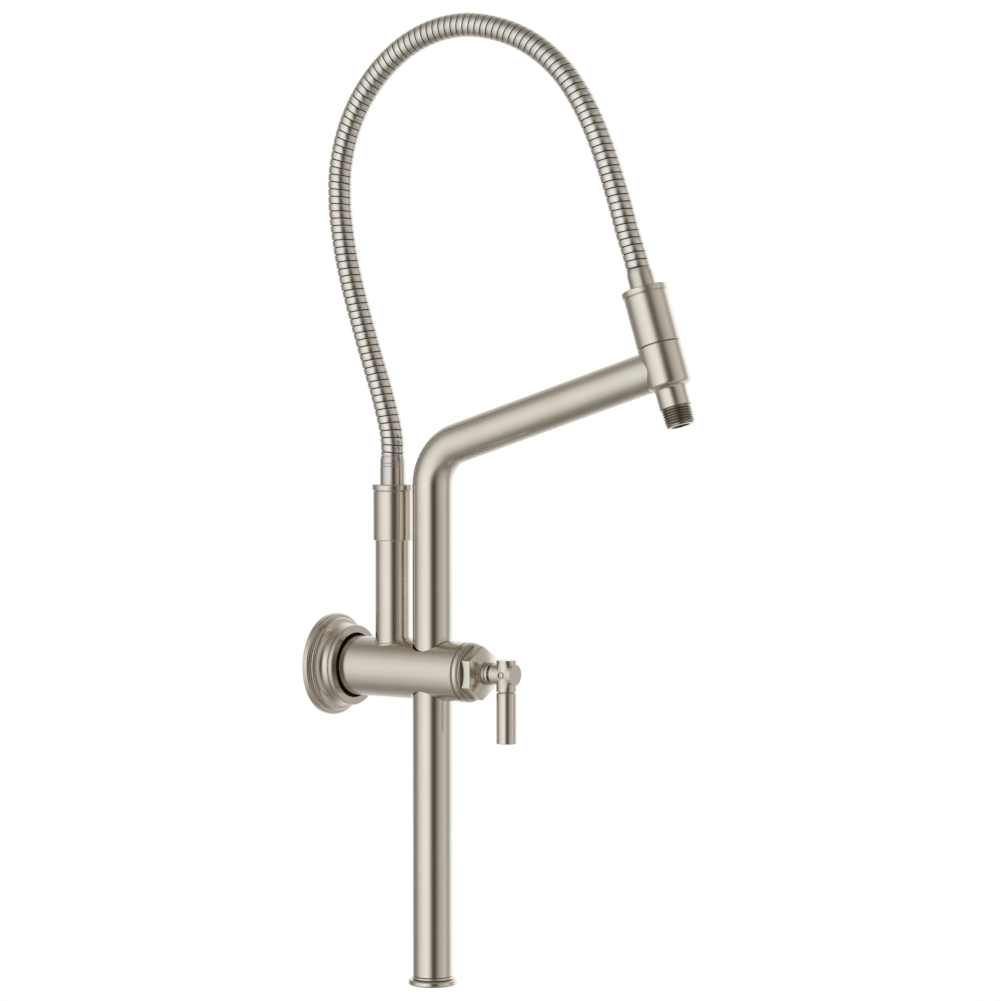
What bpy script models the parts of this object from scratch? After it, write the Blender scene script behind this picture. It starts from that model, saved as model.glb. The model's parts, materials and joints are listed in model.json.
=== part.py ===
"""Wall-mounted pre-rinse column: a clamped sliding column fed by a flexible hose.

Metres, +Z up. The origin is the centre of the wall flange's back face, and the body
stands out from the wall along -Y. The column slides and turns in the body's cross bore,
and the lever at the front drives a clamp shoe against the split guide sleeve.
"""

import math

import bmesh
import bpy
import numpy as np
from mathutils import Matrix, Vector

MM = 0.001
GAP = 0.3 * MM
RUNNING = 0.35 * MM
FINE = 32
PLAIN = 20

# Main sizes
COLUMN_REACH = 89.6 * MM
RISER_BEHIND = 35.2 * MM
BODY_RADIUS = 21.5 * MM
BODY_FRONT = 30.65 * MM
TUBE_RADIUS = 14.3 * MM
TUBE_WALL = 1.5 * MM
FOOT_DROP = 220.6 * MM
BEND_HEIGHT = 156.3 * MM
BEND_RADIUS = 32.5 * MM
ARM_LENGTH = 206.8 * MM
ARM_RISE = math.radians(17.84)
RISER_RADIUS = 12.65 * MM
RISER_WALL = 1.5 * MM
RISER_SEAT = 8.3 * MM
RISER_TOP = 117.3 * MM
HOSE_RADIUS = 8.5 * MM

# Wall flange and inlet
FLANGE_RADIUS = 36.9 * MM
FLANGE_RIM = 4.6 * MM
FLANGE_STEP = 33.9 * MM
FLANGE_DEPTH = 20.6 * MM
LIP_RADIUS = 29.2 * MM
FLANGE_BORE = BODY_RADIUS + 2.1 * MM
RIM_WIDTH = 2.7 * MM
NIPPLE_RADIUS = 10.65 * MM
NIPPLE_BORE = 7.9 * MM
NIPPLE_REACH = 22.0 * MM
NIPPLE_BACK = 15.0 * MM
BODY_BACK = 8.0 * MM
O_RING_AT = 15.1 * MM
O_RING_SEAT = BODY_RADIUS - 1.2 * MM
O_RING_HALF = 1.5 * MM
COVE_RADIUS = 6.35 * MM
COVE_HEIGHT = 14.0 * MM

# Guide in the cross bore
SLEEVE_WALL = 1.05 * MM
SLEEVE_HALF = 11.1 * MM
SLEEVE_SLIT = 2.4 * MM
RING_THICK = 1.0 * MM
RING_BITE = 0.5 * MM
RING_SLIT = 4.0 * MM

# Clamp and lever, as distances in front of the column's axis
SHOE_RADIUS = 10.9 * MM
SHOE_BACK = 22.0 * MM
SPINDLE_RADIUS = 5.0 * MM
SCREW_RADIUS = 4.7 * MM
COLLAR_RADIUS = 7.6 * MM
COLLAR_START = 26.0 * MM
COLLAR_END = 30.0 * MM
SPINDLE_END = 69.2 * MM
FRONT_RING_END = 35.7 * MM
HEX_START = 37.0 * MM
HEX_END = 44.3 * MM
HEX_FLATS = 33.8 * MM
CONE_END = 47.4 * MM
GLAND_RADIUS = 8.5 * MM
GLAND_END = 52.6 * MM
HUB_START = 54.3 * MM
HUB_END = 72.1 * MM
HUB_RADIUS = 7.5 * MM
LEVER_AT = 64.6 * MM
LEVER_RADIUS = 7.25 * MM
LEVER_TOP = 10.5 * MM
LEVER_JOINT = 11.8 * MM
LEVER_DROP = 49.0 * MM
STUD_RADIUS = 4.0 * MM
STUD_LENGTH = 4.0 * MM
GRUB_RADIUS = 2.1 * MM
THRUST_THICK = 0.7 * MM
SEAL_SEAT = 7.2 * MM
SEAL_AT = 41.3 * MM
SEAL_HALF = 1.3 * MM

# Hose ends
NUT_WALL = 1.15 * MM
NUT_LENGTH = 40.5 * MM
NUT_RIM = 4.2 * MM
NUT_OVERLAP = 25.2 * MM
UPPER_NUT_RADIUS = 15.4 * MM
WASHER_THICK = 2.0 * MM
WASHER_BORE = 6.5 * MM
FERRULE_RADIUS = 9.15 * MM
FERRULE_BORE = 5.5 * MM
FLANGE_THICK = 5.0 * MM
LOWER_BARREL = 28.2 * MM
UPPER_BARREL = 21.8 * MM

# Outlet, along its own axis from the arm's axis
OUTLET_TOP = 15.35 * MM
OUTLET_BOTTOM = 12.8 * MM
NECK_RADIUS = 11.1 * MM
NECK_END = 29.0 * MM
THREAD_RADIUS = 10.67 * MM
THREAD_PITCH = 1.814 * MM
THREAD_TURNS = 7
THREAD_DEPTH = 1.0 * MM
THREAD_TAPER = 1 / 32
OUTLET_BORE = 6.4 * MM

# Foot cap
FOOT_RADIUS = 17.45 * MM
FOOT_THICK = 4.0 * MM
FOOT_BEAD = 2.4 * MM
FOOT_PLUG = 15.6 * MM

# The hose's route from the lower ferrule over the crown to the outlet
LOWER_ROUTE = (
    (-0.0002, -0.0530, 0.1715),
    (-0.0007, -0.0497, 0.1848),
    (-0.0020, -0.0442, 0.2048),
    (-0.0030, -0.0401, 0.2181),
    (-0.0046, -0.0342, 0.2380),
    (-0.0061, -0.0287, 0.2579),
    (-0.0073, -0.0233, 0.2779),
    (-0.0079, -0.0186, 0.2982),
    (-0.0079, -0.0150, 0.3187),
)
ROUTE_MIDDLE = (-0.0073, -0.0128, 0.3394)
UPPER_ROUTE = (
    (-0.0062, -0.0128, 0.3602),
    (-0.0048, -0.0165, 0.3806),
    (-0.0031, -0.0237, 0.4002),
    (-0.0016, -0.0347, 0.4182),
    (-0.0005, -0.0498, 0.4343),
    (0.0, -0.0686, 0.4473),
    (0.0, -0.0913, 0.4562),
    (0.0, -0.1163, 0.4598),
    (0.0, -0.1414, 0.4570),
    (0.0, -0.1651, 0.4495),
    (0.0, -0.1858, 0.4379),
    (0.0, -0.2030, 0.4230),
    (0.0, -0.2163, 0.4060),
    (0.0, -0.2270, 0.3878),
    (0.0, -0.2357, 0.3691),
    (0.0, -0.2431, 0.3502),
    (0.0, -0.2498, 0.3311),
    (0.0, -0.2559, 0.3120),
)

# Worked-out sizes
TUBE_BORE = TUBE_RADIUS - TUBE_WALL
SLEEVE_INNER = TUBE_RADIUS + GAP
SLEEVE_OUTER = SLEEVE_INNER + SLEEVE_WALL
CROSS_BORE = SLEEVE_OUTER + RUNNING
RING_INNER = TUBE_RADIUS + RUNNING
RING_OUTER = CROSS_BORE + RING_BITE
RING_HEIGHT = SLEEVE_HALF + 2 * GAP
NUT_BORE = RISER_RADIUS + GAP
LOWER_NUT_RADIUS = NUT_BORE + NUT_WALL
SHOE_BORE = SHOE_RADIUS + 0.4 * MM
SPINDLE_HOLE = SPINDLE_RADIUS + GAP
FERRULE_FLANGE = RISER_RADIUS - GAP
BOLT_HOLE = FERRULE_RADIUS + RUNNING
INLET_BORE = NIPPLE_RADIUS + GAP
SPIGOT_LENGTH = NUT_OVERLAP + GAP
CHAMBER_END = COLUMN_REACH - CROSS_BORE - 4.5 * MM


def clear_scene():
    for obj in list(bpy.data.objects):
        bpy.data.objects.remove(obj, do_unlink=True)


def finish_of(name, colour, roughness, metallic):
    material = bpy.data.materials.new(name)
    material.use_nodes = True
    shader = material.node_tree.nodes["Principled BSDF"]
    shader.inputs["Base Color"].default_value = (*colour, 1.0)
    shader.inputs["Roughness"].default_value = roughness
    shader.inputs["Metallic"].default_value = metallic
    return material


def arc(centre, radius, start, end, count):
    """Points of an arc in the outline plane; angles in degrees from the radius axis."""
    angles = [math.radians(start + (end - start) * i / count) for i in range(count + 1)]
    return [(centre[0] + radius * math.cos(a), centre[1] + radius * math.sin(a)) for a in angles]


def add_object(name, bm, material):
    bmesh.ops.recalc_face_normals(bm, faces=bm.faces)
    mesh = bpy.data.meshes.new(name)
    bm.to_mesh(mesh)
    bm.free()
    mesh.shade_smooth()
    mesh.set_sharp_from_angle(angle=math.radians(35))
    mesh.materials.append(material)
    obj = bpy.data.objects.new(name, mesh)
    bpy.context.scene.collection.objects.link(obj)
    return obj


def turned(name, outline, material, steps=FINE):
    """A solid turned round local Z from (radius, height) points. An outline that doesn't
    start and end on the axis is closed on itself, and makes a ring or a tube."""
    bm = bmesh.new()
    verts = [bm.verts.new((radius, 0.0, height)) for radius, height in outline]
    edges = [bm.edges.new(pair) for pair in zip(verts, verts[1:])]
    if outline[0][0] > 0 or outline[-1][0] > 0:
        edges.append(bm.edges.new((verts[-1], verts[0])))
    bmesh.ops.spin(
        bm, geom=verts + edges, cent=(0, 0, 0), axis=(0, 0, 1), angle=2 * math.pi, steps=steps
    )
    bmesh.ops.remove_doubles(bm, verts=bm.verts, dist=0.00001)
    poles = [vert for vert in bm.verts if vert.co.xy.length < 0.00001]
    bmesh.ops.dissolve_verts(bm, verts=poles)
    return add_object(name, bm, material)


def tube_outline(inner, outer, low, high, chamfer=0.0):
    """A plain ring or tube, with its outer edges chamfered."""
    return [
        (inner, low),
        (outer - chamfer, low),
        (outer, low + chamfer),
        (outer, high - chamfer),
        (outer - chamfer, high),
        (inner, high),
    ] if chamfer else [(inner, low), (outer, low), (outer, high), (inner, high)]


def placed(obj, parent, at=(0, 0, 0), turn=(0, 0, 0)):
    obj.parent = parent
    obj.location = at
    obj.rotation_euler = turn
    return obj


def axis_empty(name, parent=None, at=(0, 0, 0), turn=(0, 0, 0)):
    empty = bpy.data.objects.new(name, None)
    bpy.context.scene.collection.objects.link(empty)
    return placed(empty, parent, at, turn)


def box_tool(name, size, material):
    bm = bmesh.new()
    bmesh.ops.create_cube(bm, size=1.0)
    bmesh.ops.scale(bm, vec=size, verts=bm.verts)
    return add_object(name, bm, material)


def round_tool(name, radius, low, high, material, steps=FINE):
    return turned(name, [(0, low), (radius, low), (radius, high), (0, high)], material, steps)


def shaped_by(obj, tool, operation="DIFFERENCE"):
    """Applies a cutter, or another tool solid, to the object with an exact Boolean."""
    tool.hide_render = True
    tool.display_type = "WIRE"
    modifier = obj.modifiers.new(tool.name, "BOOLEAN")
    modifier.operation = operation
    modifier.solver = "EXACT"
    modifier.object = tool
    return obj


def make_flange(wall, metal, rubber):
    """The escutcheon: a thin rim, a step, a cove and a lip round a recess for the body."""
    cove_centre = (FLANGE_STEP - 1.0 * MM, COVE_HEIGHT)
    outline = [
        (FLANGE_RADIUS, 0),
        (FLANGE_RADIUS, FLANGE_RIM - 1.0 * MM),
        (FLANGE_RADIUS - 1.0 * MM, FLANGE_RIM),
        (FLANGE_STEP, FLANGE_RIM),
        (FLANGE_STEP, FLANGE_RIM + 2.0 * MM),
        *arc(cove_centre, COVE_RADIUS, 270, 150, 9),
        (LIP_RADIUS, FLANGE_DEPTH - 2.6 * MM),
        (LIP_RADIUS, FLANGE_DEPTH - 0.6 * MM),
        (LIP_RADIUS - 0.6 * MM, FLANGE_DEPTH),
        (FLANGE_BORE, FLANGE_DEPTH),
        (FLANGE_BORE, 9.5 * MM),
        (FLANGE_STEP - 3.0 * MM, 4.6 * MM),
        (FLANGE_RADIUS - RIM_WIDTH, 2.2 * MM),
        (FLANGE_RADIUS - RIM_WIDTH, 0),
    ]
    placed(turned("wall_flange", outline, metal), wall)
    seat = (O_RING_SEAT + FLANGE_BORE) / 2
    section = (FLANGE_BORE - O_RING_SEAT) / 2 - GAP
    ring = turned("flange_o_ring", arc((seat, O_RING_AT), section, 0, 330, 11), rubber, PLAIN)
    placed(ring, wall)


def make_nipple(wall, brass):
    outline = tube_outline(NIPPLE_BORE, NIPPLE_RADIUS, -NIPPLE_BACK, NIPPLE_REACH, 0.8 * MM)
    placed(turned("wall_nipple", outline, brass), wall)


def make_body(wall, riser_axis, column_axis, metal):
    """The horizontal barrel: inlet chamber behind, cross bore, and clamp bore in front."""
    front = COLUMN_REACH + BODY_FRONT
    outline = [
        (0, CHAMBER_END),
        (INLET_BORE, CHAMBER_END),
        (INLET_BORE, BODY_BACK),
        (BODY_RADIUS - 0.6 * MM, BODY_BACK),
        (BODY_RADIUS, BODY_BACK + 0.6 * MM),
        (BODY_RADIUS, O_RING_AT - O_RING_HALF),
        (O_RING_SEAT, O_RING_AT - O_RING_HALF),
        (O_RING_SEAT, O_RING_AT + O_RING_HALF),
        (BODY_RADIUS, O_RING_AT + O_RING_HALF),
        (BODY_RADIUS, front - 0.3 * MM),
        (BODY_RADIUS - 0.3 * MM, front),
        (SHOE_BORE, front),
        (SHOE_BORE, COLUMN_REACH + 3.0 * MM),
        (0, COLUMN_REACH + 3.0 * MM),
    ]
    body = placed(turned("body_barrel", outline, metal), wall)
    reach = BODY_RADIUS + 5.0 * MM
    low = RING_HEIGHT - GAP
    high = RING_HEIGHT + RING_THICK + GAP
    deep = RING_OUTER + GAP
    bore = [
        (0, -reach),
        (CROSS_BORE, -reach),
        (CROSS_BORE, -high),
        (deep, -high),
        (deep, -low),
        (CROSS_BORE, -low),
        (CROSS_BORE, low),
        (deep, low),
        (deep, high),
        (CROSS_BORE, high),
        (CROSS_BORE, reach),
        (0, reach),
    ]
    shaped_by(body, placed(turned("cross_bore_tool", bore, metal), column_axis))
    hole = round_tool("riser_hole_tool", RISER_RADIUS + GAP, RISER_SEAT - GAP, reach, metal)
    shaped_by(body, placed(hole, riser_axis))


def nut_outline(radius, start, chamfer):
    """A smooth hose nut with a rim at its hose end; it is open towards the fitting."""
    top = start + NUT_LENGTH
    rim = top - NUT_RIM
    plate = start + NUT_OVERLAP + WASHER_THICK + FLANGE_THICK + 4 * GAP
    flare = 0.75 * MM
    return [
        (NUT_BORE, start),
        (radius - chamfer, start),
        (radius, start + chamfer),
        (radius, rim - 0.8 * MM),
        (radius - 0.4 * MM, rim - 0.5 * MM),
        (radius - 0.4 * MM, rim - 0.1 * MM),
        (radius + flare, rim + 0.2 * MM),
        (radius + flare, top - 0.5 * MM),
        (radius + flare - 0.5 * MM, top),
        (BOLT_HOLE, top),
        (BOLT_HOLE, plate),
        (NUT_BORE, plate),
    ]


def ferrule_outline(start, barrel):
    """A crimp ferrule: a flange that the nut pulls down, and a barrel round the hose."""
    shoulder = start + FLANGE_THICK
    top = shoulder + barrel
    return [
        (FERRULE_BORE, start),
        (FERRULE_FLANGE, start),
        (FERRULE_FLANGE, shoulder),
        (FERRULE_RADIUS, shoulder),
        (FERRULE_RADIUS, top - 2.0 * MM),
        (FERRULE_RADIUS - 0.9 * MM, top),
        (FERRULE_BORE, top),
    ]


def make_hose_end(prefix, parent, seat, nut_radius, barrel, metal, steel, rubber):
    """Washer, ferrule and nut on a sealing face at the height given; returns the top."""
    washer = tube_outline(WASHER_BORE, RISER_RADIUS - GAP, seat + GAP, seat + GAP + WASHER_THICK)
    placed(turned(prefix + "_washer", washer, rubber, PLAIN), parent)
    start = seat + 2 * GAP + WASHER_THICK
    placed(turned(prefix + "_ferrule", ferrule_outline(start, barrel), steel), parent)
    nut = nut_outline(nut_radius, seat - NUT_OVERLAP, 0.5 * MM)
    placed(turned(prefix + "_hose_nut", nut, metal), parent)
    return start + FLANGE_THICK + barrel


def make_riser(riser_axis, metal):
    outline = tube_outline(RISER_RADIUS - RISER_WALL, RISER_RADIUS, RISER_SEAT, RISER_TOP, 0.3 * MM)
    placed(turned("riser_tube", outline, metal), riser_axis)


def column_stations():
    """Centres and in-plane normals of the column's sections, from the foot to the outlet."""
    turn = math.pi / 2 - ARM_RISE
    setback = BEND_RADIUS * math.tan(turn / 2)
    start = BEND_HEIGHT - setback
    stations = [((0, -FOOT_DROP), (1, 0))]
    steps = 10
    for i in range(steps + 1):
        angle = turn * i / steps
        centre = (
            -BEND_RADIUS * (1 - math.cos(angle)),
            start + BEND_RADIUS * math.sin(angle),
        )
        stations.append((centre, (math.cos(angle), math.sin(angle))))
    along = (-math.cos(ARM_RISE), math.sin(ARM_RISE))
    end = (along[0] * ARM_LENGTH, BEND_HEIGHT + along[1] * ARM_LENGTH)
    stations.append((end, (math.sin(ARM_RISE), math.cos(ARM_RISE))))
    return stations


def make_column(column_axis, outlet_axis, metal):
    """The bent tube, open at both ends and coped to the outlet's round side."""
    bm = bmesh.new()
    loops = []
    for (y, z), (ny, nz) in column_stations():
        pair = []
        for radius in (TUBE_RADIUS, TUBE_BORE):
            ring = []
            for k in range(FINE):
                angle = 2 * math.pi * k / FINE
                side = radius * math.cos(angle)
                out = radius * math.sin(angle)
                ring.append(bm.verts.new((side, y + out * ny, z + out * nz)))
            pair.append(ring)
        loops.append(pair)
    for near, far in zip(loops, loops[1:]):
        for skin in (0, 1):
            join_rings(bm, near[skin], far[skin])
    join_rings(bm, loops[0][0], loops[0][1])
    join_rings(bm, loops[-1][0], loops[-1][1])
    column = placed(add_object("column_tube", bm, metal), column_axis)
    cope = round_tool(
        "cope_tool", UPPER_NUT_RADIUS + GAP, -2 * TUBE_RADIUS, 2 * TUBE_RADIUS, metal
    )
    shaped_by(column, placed(cope, outlet_axis))


def join_rings(bm, first, second):
    for k in range(len(first)):
        after = (k + 1) % len(first)
        bm.faces.new((first[k], first[after], second[after], second[k]))


def make_foot(column_axis, metal):
    """A plug with a bead and a stop flange that is wider than the cross bore."""
    plug = TUBE_BORE - GAP
    bead = TUBE_RADIUS + 0.5 * MM
    top = -FOOT_DROP - GAP
    mid = top - FOOT_BEAD
    low = mid - FOOT_THICK
    outline = [
        (0, top + FOOT_PLUG),
        (plug - 0.6 * MM, top + FOOT_PLUG),
        (plug, top + FOOT_PLUG - 0.6 * MM),
        (plug, top),
        (bead - 0.5 * MM, top),
        (bead, top - 0.5 * MM),
        (bead, mid + 0.5 * MM),
        (bead - 0.5 * MM, mid),
        (FOOT_RADIUS - 0.9 * MM, mid),
        (FOOT_RADIUS, mid - 0.9 * MM),
        (FOOT_RADIUS, low + 1.0 * MM),
        (FOOT_RADIUS - 1.0 * MM, low),
        (0, low),
    ]
    placed(turned("foot_cap", outline, metal), column_axis)


def thread_outline(top):
    """The ridges of a tapered pipe thread, from its top down to its end."""
    points = []
    for turn in range(THREAD_TURNS):
        height = top - turn * THREAD_PITCH
        crest = THREAD_RADIUS - turn * THREAD_PITCH * THREAD_TAPER
        points += [(crest - THREAD_DEPTH, height), (crest, height - 0.5 * THREAD_PITCH)]
    end = top - THREAD_TURNS * THREAD_PITCH
    points += [(crest - THREAD_DEPTH, end), (crest - THREAD_DEPTH, end - 0.9 * MM)]
    return points


def make_outlet(outlet_axis, metal):
    """The fitting at the arm's end: a spigot for the hose nut, a neck and a pipe thread."""
    bottom = -OUTLET_BOTTOM
    thread = thread_outline(-NECK_END)
    outline = [
        (NUT_BORE - GAP, OUTLET_TOP + SPIGOT_LENGTH),
        (NUT_BORE - GAP, OUTLET_TOP),
        (UPPER_NUT_RADIUS, OUTLET_TOP),
        (UPPER_NUT_RADIUS, bottom),
        (UPPER_NUT_RADIUS - 0.8 * MM, bottom - 1.3 * MM),
        (NECK_RADIUS + 0.9 * MM, bottom - 2.2 * MM),
        (NECK_RADIUS, bottom - 3.1 * MM),
        (NECK_RADIUS, -NECK_END),
        *thread,
        (OUTLET_BORE, thread[-1][1]),
        (OUTLET_BORE, -NECK_END),
        (WASHER_BORE, OUTLET_TOP),
        (WASHER_BORE, OUTLET_TOP + SPIGOT_LENGTH),
    ]
    placed(turned("outlet_fitting", outline, metal), outlet_axis)


def make_guide(column_axis, plastic, spring):
    """The split sleeve round the column, and the two snap rings that hold it in the bore."""
    sleeve = placed(
        turned(
            "guide_sleeve",
            tube_outline(SLEEVE_INNER, SLEEVE_OUTER, -SLEEVE_HALF, SLEEVE_HALF),
            plastic,
        ),
        column_axis,
    )
    size = (SLEEVE_SLIT, 2 * SLEEVE_OUTER, 3 * SLEEVE_HALF)
    slit = box_tool("sleeve_slit_tool", size, plastic)
    shaped_by(sleeve, placed(slit, column_axis, (0, SLEEVE_OUTER, 0)))
    for name, low in (
        ("upper_snap_ring", RING_HEIGHT),
        ("lower_snap_ring", -RING_HEIGHT - RING_THICK),
    ):
        outline = tube_outline(RING_INNER, RING_OUTER, low, low + RING_THICK)
        ring = placed(turned(name, outline, spring, PLAIN), column_axis)
        size = (RING_SLIT, 2 * RING_OUTER, 4 * RING_THICK)
        slit = box_tool(name + "_slit_tool", size, spring)
        at = (0, RING_OUTER, low + RING_THICK / 2)
        shaped_by(ring, placed(slit, column_axis, at))


def make_clamp(front, column_axis, plastic, brass, steel, rubber):
    """Inside the clamp bore: the shoe, the captive spindle, its washer and its seal."""
    shoe = placed(
        turned(
            "clamp_shoe",
            tube_outline(SCREW_RADIUS + GAP, SHOE_RADIUS, 6.0 * MM, SHOE_BACK, 0.4 * MM),
            brass,
        ),
        front,
    )
    saddle = round_tool(
        "saddle_tool", SLEEVE_OUTER + GAP, -2 * SHOE_RADIUS, 2 * SHOE_RADIUS, brass
    )
    shaped_by(shoe, placed(saddle, column_axis))
    tip = SLEEVE_OUTER + 3 * GAP
    outline = [
        (0, tip),
        (SCREW_RADIUS - 0.6 * MM, tip),
        (SCREW_RADIUS, tip + 0.6 * MM),
        (SCREW_RADIUS, COLLAR_START),
        (COLLAR_RADIUS, COLLAR_START),
        (COLLAR_RADIUS, COLLAR_END),
        (SPINDLE_RADIUS, COLLAR_END),
        (SPINDLE_RADIUS, SPINDLE_END),
        (0, SPINDLE_END),
    ]
    placed(turned("clamp_spindle", outline, steel, PLAIN), front)
    start = COLLAR_END + GAP
    outline = tube_outline(SPINDLE_HOLE, COLLAR_RADIUS, start, start + THRUST_THICK)
    placed(turned("thrust_washer", outline, plastic, PLAIN), front)
    section = (SEAL_SEAT - SPINDLE_RADIUS) / 2 - GAP
    centre = ((SEAL_SEAT + SPINDLE_RADIUS) / 2, SEAL_AT)
    placed(turned("spindle_seal", arc(centre, section, 0, 324, 9), rubber, PLAIN), front)


def make_bonnet(front, metal, steel):
    """The front ring, its washer, the hexagonal bonnet and the two gland rings."""
    ring = [
        (SHOE_BORE, BODY_FRONT + GAP),
        (BODY_RADIUS - 0.3 * MM, BODY_FRONT + GAP),
        (BODY_RADIUS, BODY_FRONT + 2 * GAP),
        (BODY_RADIUS, FRONT_RING_END - 1.2 * MM),
        (BODY_RADIUS - 0.8 * MM, FRONT_RING_END),
        (SHOE_BORE, FRONT_RING_END),
    ]
    placed(turned("front_ring", ring, metal), front)
    washer = tube_outline(
        SHOE_BORE, BODY_RADIUS - 1.3 * MM, FRONT_RING_END + GAP, HEX_START - GAP
    )
    placed(turned("bonnet_washer", washer, steel), front)
    corner = HEX_FLATS / math.sqrt(3)
    shank = COLLAR_START - 2.0 * MM
    shoulder = COLLAR_END + 2 * GAP + THRUST_THICK
    outline = [
        (COLLAR_RADIUS + GAP, shank),
        (SHOE_RADIUS, shank),
        (SHOE_RADIUS, HEX_START),
        (HEX_FLATS / 2, HEX_START),
        (corner, HEX_START + 1.0 * MM),
        (corner, HEX_END - 1.3 * MM),
        (HEX_FLATS / 2, HEX_END),
        (GLAND_RADIUS + 0.4 * MM, CONE_END),
        (SPINDLE_HOLE, CONE_END),
        (SPINDLE_HOLE, SEAL_AT + SEAL_HALF),
        (SEAL_SEAT, SEAL_AT + SEAL_HALF),
        (SEAL_SEAT, SEAL_AT - SEAL_HALF),
        (SPINDLE_HOLE, SEAL_AT - SEAL_HALF),
        (SPINDLE_HOLE, shoulder),
        (COLLAR_RADIUS + GAP, shoulder),
    ]
    bonnet = placed(turned("hex_bonnet", outline, metal), front)
    prism = round_tool("hex_tool", corner, shank - 5.0 * MM, CONE_END + 5.0 * MM, metal, 6)
    shaped_by(bonnet, placed(prism, front, turn=(0, 0, math.radians(30))), "INTERSECT")
    middle = (CONE_END + GLAND_END) / 2
    for name, radius, low, high in (
        ("gland_ring", GLAND_RADIUS, CONE_END + GAP, middle - GAP / 2),
        ("gland_collar", GLAND_RADIUS - 0.15 * MM, middle + GAP / 2, GLAND_END),
    ):
        outline = tube_outline(SPINDLE_HOLE, radius, low, high, 0.5 * MM)
        placed(turned(name, outline, metal, PLAIN), front)


def make_handle(front, metal, steel):
    """The hub with its upright sleeve, the lever screwed into it, and the grub screw."""
    outline = [
        (0, HUB_START),
        (HUB_RADIUS - 0.4 * MM, HUB_START),
        (HUB_RADIUS, HUB_START + 0.4 * MM),
        (HUB_RADIUS, HUB_END - 0.5 * MM),
        (HUB_RADIUS - 0.5 * MM, HUB_END),
        (0, HUB_END),
    ]
    hub = placed(turned("handle_hub", outline, metal), front)
    upright = (math.radians(-90), 0, 0)
    across = (0, math.radians(-90), 0)
    at = (0, 0, LEVER_AT)
    sleeve = round_tool("hub_sleeve_tool", LEVER_RADIUS, -LEVER_JOINT, LEVER_TOP, metal)
    shaped_by(hub, placed(sleeve, front, at, upright), "UNION")
    bore = round_tool("hub_bore_tool", SPINDLE_HOLE, HUB_START - 1 * MM, SPINDLE_END + GAP, metal)
    shaped_by(hub, placed(bore, front, turn=(0, 0, math.pi / FINE)))
    stud_top = -LEVER_JOINT + STUD_LENGTH
    socket = round_tool(
        "stud_socket_tool", STUD_RADIUS + GAP, -2 * LEVER_JOINT, stud_top, metal, PLAIN
    )
    shaped_by(hub, placed(socket, front, at, upright))
    grub_hole = round_tool(
        "grub_hole_tool", GRUB_RADIUS + GAP, SPINDLE_RADIUS, 2 * HUB_RADIUS, metal, PLAIN
    )
    shaped_by(hub, placed(grub_hole, front, at, across))
    start = -LEVER_JOINT - GAP
    lever = [
        (0, stud_top - GAP),
        (STUD_RADIUS, stud_top - GAP),
        (STUD_RADIUS, start),
        (LEVER_RADIUS - 0.5 * MM, start),
        (LEVER_RADIUS, start - 0.5 * MM),
        (LEVER_RADIUS, -LEVER_DROP + 0.5 * MM),
        (LEVER_RADIUS - 0.5 * MM, -LEVER_DROP),
        (0, -LEVER_DROP),
    ]
    placed(turned("lever_rod", lever, metal), front, at, upright)
    grub = round_tool(
        "grub_screw", GRUB_RADIUS, SPINDLE_RADIUS + GAP, HUB_RADIUS - 0.2 * MM, steel, PLAIN
    )
    placed(grub, front, at, across)


def smooth_line(points, spacing):
    """Evenly spaced points on a centripetal Catmull-Rom curve through the route."""
    given = np.array(points)
    ends = 2 * given[0] - given[1], 2 * given[-1] - given[-2]
    knots = np.vstack([ends[0], given, ends[1]])
    dense = [given[0]]
    for before, start, end, after in zip(knots, knots[1:], knots[2:], knots[3:]):
        times = np.cumsum(
            [0]
            + [math.sqrt(np.linalg.norm(b - a)) for a, b in
               ((before, start), (start, end), (end, after))]
        )
        for step in range(1, 13):
            t = times[1] + (times[2] - times[1]) * step / 12
            a1 = mix(before, start, times[0], times[1], t)
            a2 = mix(start, end, times[1], times[2], t)
            a3 = mix(end, after, times[2], times[3], t)
            b1 = mix(a1, a2, times[0], times[2], t)
            b2 = mix(a2, a3, times[1], times[3], t)
            dense.append(mix(b1, b2, times[1], times[2], t))
    dense = np.array(dense)
    run = np.concatenate([[0], np.cumsum(np.linalg.norm(np.diff(dense, axis=0), axis=1))])
    count = max(2, round(run[-1] / spacing))
    stations = np.linspace(0, run[-1], count + 1)
    return np.array([np.interp(stations, run, dense[:, i]) for i in range(3)]).T


def mix(a, b, start, end, t):
    return a + (b - a) * (t - start) / (end - start)


def make_hose_length(name, points, material):
    curve = bpy.data.curves.new(name, "CURVE")
    curve.dimensions = "3D"
    curve.bevel_depth = HOSE_RADIUS
    curve.bevel_resolution = 4
    curve.use_fill_caps = True
    curve.materials.append(material)
    spline = curve.splines.new("POLY")
    spline.points.add(len(points) - 1)
    for point, place in zip(spline.points, points):
        point.co = (*place, 1.0)
    obj = bpy.data.objects.new(name, curve)
    bpy.context.scene.collection.objects.link(obj)
    return obj


def hose_line(start, start_way, route, end, end_way):
    """A route that leaves one end straight and meets the other end straight."""
    stub = HOSE_RADIUS
    inner = [start + start_way * stub, *route, end - end_way * stub]
    return [start, *smooth_line(inner, 4 * HOSE_RADIUS), end]


def make_hose(start, end, end_way, material):
    """The hose in the two lengths that bend with the column's turn and with its slide."""
    middle = Vector(ROUTE_MIDDLE)
    way = (Vector(UPPER_ROUTE[0]) - Vector(LOWER_ROUTE[-1])).normalized()
    half = way * GAP / 2
    lower = hose_line(start, Vector((0, 0, 1)), LOWER_ROUTE, middle - half, way)
    upper = hose_line(middle + half, way, UPPER_ROUTE, end, end_way)
    make_hose_length("hose_lower", lower, material)
    make_hose_length("hose_upper", upper, material)


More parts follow.
